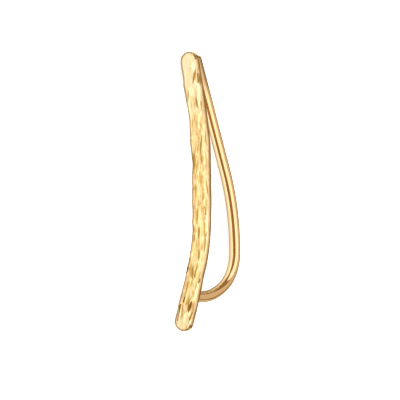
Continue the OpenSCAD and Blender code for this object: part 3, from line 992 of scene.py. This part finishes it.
def drawn_gold(gold, route_length):
    """Drawn wire: smooth and bright, duller towards its free end, where painted shade darkens it,
    and paler where it is soldered.
    """
    material, nodes, shader = new_material("drawn_gold")
    place = nodes.add("ShaderNodeTexCoord", output="Object")
    along = stored(nodes, "along")
    dull_shaded_end = eased_step(along, route_length - DULL_END_REACH, route_length - DULL_END_REACH / 2)
    soldered = 1 - eased_step(along, SOLDER_FADE, 2 * SOLDER_FADE)
    colour = blend(nodes, noise(nodes, place, *WIRE_CLOUDS) * CLOUD_DEEP, gold.wire_colour,
                   gold.deep_and_shade_colour)
    # Painted shade darkens the wire towards its free end
    colour = blend(nodes, dull_shaded_end * END_SHADE, colour, gold.painted_shade_colour)
    colour = blend(nodes, soldered, colour, gold.solder_colour)
    worn = noise(nodes, place, *WIRE_WEAR) + dull_shaded_end + soldered
    finish_gold(nodes, shader, colour, worn * gold.dullness + gold.roughness,
                noise(nodes, place, *WIRE_SPECKS), WIRE_GRAIN, gold.wire_grazing)
    return material


def climber_route(scene):
    return Route(scene.climber_bar, scene.climber_wire)


def finish_piece(piece):
    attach(piece, BODY)
    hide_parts(NODE)


class CLIMBER_OT_bar(bpy.types.Operator):
    """Make the hammered strip"""
    bl_idname = "climber.bar"
    bl_label = "Hammered strip"

    def execute(self, context):
        bar = context.scene.climber_bar
        material = hammered_gold(context.scene.climber_gold, bar)
        marks = make_marks(bar, "marks", MARKS, BOWL_SPREAD, bar.hammer_depth)
        creases = make_marks(bar, "creases", CREASES, CREASE_SPREAD, bar.crease_depth)
        values = {size: getattr(bar, size) for size in BAR_SIZES}
        values.update({"Marks": marks, "Strikes": len(MARKS), "Creases": creases,
                       "Crease strikes": len(CREASES), "Rim softness": bar.rim_softness,
                       "Unevenness": bar.unevenness, "Material": material})
        piece = hammer_recipe().run(make_blank(bar), values, "hammered_bar",
                                    climber_route(context.scene).bar_frame())
        for table in (marks, creases):
            bpy.data.objects.remove(table)
        finish_piece(piece)
        return {"FINISHED"}


class CLIMBER_OT_wire(bpy.types.Operator):
    """Make the ear wire with its solder"""
    bl_idname = "climber.wire"
    bl_label = "Ear wire"

    def execute(self, context):
        route = climber_route(context.scene)
        stations = route.stations()
        spots = [place for place, _ in stations]
        route_length = sum((b - a).length for a, b in zip(spots, spots[1:]))
        material = drawn_gold(context.scene.climber_gold, route_length)
        piece = sweep_recipe().run(make_path(stations),
                                   {"Sides": WIRE_SIDES, "Material": material},
                                   "ear_wire", route.wire_frame())
        finish_piece(piece)
        return {"FINISHED"}


# The overhead softbox reaches from this far above the front horizon, over the zenith, to this
# far above the back horizon, as seen from the piece
OVERHEAD_FRONT = math.radians(60)
OVERHEAD_BACK = math.radians(64)
OVERHEAD_HEIGHT = 0.30
OVERHEAD_WIDTH = 1.20
# The rear softbox stands this far behind the piece, and shows between these two heights
REAR_DISTANCE = 0.50
REAR_LOW = math.radians(17)
REAR_HIGH = math.radians(62)
# How wide the key light looks from the piece
KEY_SPREAD = math.radians(24)
FLOOR_SIZE = 6.0
FLOOR_ROUGHNESS = 0.5
# So long that the view has next to no perspective
LENS = 1000.0
# How many times nearer and further than the piece the camera sees
CLIP_RANGE = 100
# Point of the bar's front in the middle of the picture: along the middle stretch, and across
AIM = (1.418 * MM, -0.018 * MM)


def soft_light(name, place, target, size, brightness):
    """A rectangular soft light that looks at target; brightness is that of its face."""
    data = bpy.data.lights.new(name, "AREA")
    data.shape = "RECTANGLE"
    data.size, data.size_y = size
    data.energy = brightness * size[0] * size[1] * math.pi
    light = new_object(name, data)
    light.location = place
    light.rotation_euler = (Vector(target) - Vector(place)).to_track_quat("-Z", "Y").to_euler()


class CLIMBER_OT_stage(bpy.types.Operator):
    """Make the floor, the lights and the camera"""
    bl_idname = "climber.stage"
    bl_label = "Stage"

    def execute(self, context):
        stage = context.scene.climber_stage
        self.floor(stage)
        self.lights(stage)
        self.camera(context.scene, stage)
        context.scene.view_settings.view_transform = "Standard"
        return {"FINISHED"}

    def floor(self, stage):
        material, nodes, shader = new_material("floor")
        nodes.fill(shader, {"Base Color": stage.floor_colour, "Roughness": FLOOR_ROUGHNESS,
                            "Emission Color": (1, 1, 1), "Emission Strength": stage.glow})
        half = FLOOR_SIZE / 2
        mesh = bpy.data.meshes.new("floor")
        mesh.from_pydata([(-half, -half, 0), (half, -half, 0), (half, half, 0),
                          (-half, half, 0)], [], [(0, 1, 2, 3)])
        mesh.materials.append(material)
        new_object("floor", mesh)

    def lights(self, stage):
        near = -OVERHEAD_HEIGHT / math.tan(OVERHEAD_FRONT)
        far = OVERHEAD_HEIGHT / math.tan(OVERHEAD_BACK)
        middle = (near + far) / 2
        soft_light("overhead", (0, middle, OVERHEAD_HEIGHT), (0, middle, 0),
                   (OVERHEAD_WIDTH, far - near), stage.overhead)
        low, high = (REAR_DISTANCE * math.tan(t) for t in (REAR_LOW, REAR_HIGH))
        height = (low + high) / 2
        soft_light("rear", (0, REAR_DISTANCE, height), (0, 0, height),
                   (2 * REAR_DISTANCE, high - low), stage.rear)
        data = bpy.data.lights.new("key", "SUN")
        data.energy = stage.key
        data.angle = KEY_SPREAD
        key = new_object("key", data)
        key.rotation_euler = (stage.key_height - QUARTER, 0, 0)
        key.visible_glossy = False
        world = bpy.data.worlds.new("studio")
        world.use_nodes = True
        nodes = Nodes(world.node_tree)
        world.node_tree.nodes.clear()
        surround = nodes.add("ShaderNodeBackground", inputs={"Color": stage.surround})
        nodes.add("ShaderNodeOutputWorld", inputs={"Surface": surround})
        bpy.context.scene.world = world

    def camera(self, scene, stage):
        """Looks at the strip as the photograph does: upright, turned from its front."""
        place = climber_route(scene).bar_frame()
        along, side, back = (place.col[i].to_3d() for i in range(3))
        right = side * math.cos(stage.turn) + back * math.sin(stage.turn)
        backward = right.cross(along)
        data = bpy.data.cameras.new("camera")
        data.lens = LENS
        distance = stage.view_width * LENS / data.sensor_width
        turn = Matrix((right, along, backward)).transposed().to_4x4()
        aim = place @ Vector((*AIM, 0))
        camera = new_object("camera", data)
        camera.matrix_world = Matrix.Translation(aim + backward * distance) @ turn
        data.clip_start, data.clip_end = distance / CLIP_RANGE, distance * CLIP_RANGE
        scene.camera = camera


OPERATORS = (CLIMBER_OT_stage, CLIMBER_OT_bar, CLIMBER_OT_wire)


class CLIMBER_PT_panel(bpy.types.Panel):
    """Sizes, finishes and buttons of the climber"""
    bl_idname = "CLIMBER_PT_panel"
    bl_label = "Ear climber"
    bl_space_type = "VIEW_3D"
    bl_region_type = "UI"
    bl_category = "Climber"

    def draw(self, context):
        for name, group in GROUPS.items():
            box = self.layout.box()
            box.label(text=group.__doc__)
            for prop in group.__annotations__:
                box.prop(getattr(context.scene, name), prop)
        for operator in OPERATORS:
            self.layout.operator(operator.bl_idname)


CLASSES = (*GROUPS.values(), *OPERATORS, CLIMBER_PT_panel)


def register():
    for cls in CLASSES:
        bpy.utils.register_class(cls)
    for name, group in GROUPS.items():
        setattr(bpy.types.Scene, name, PointerProperty(type=group))


def unregister():
    for name in GROUPS:
        delattr(bpy.types.Scene, name)
    for cls in reversed(CLASSES):
        bpy.utils.unregister_class(cls)


def main():
    register()
    bpy.ops.climber.stage()
    bpy.ops.climber.bar()
    bpy.ops.climber.wire()


if __name__ == "__main__":
    main()
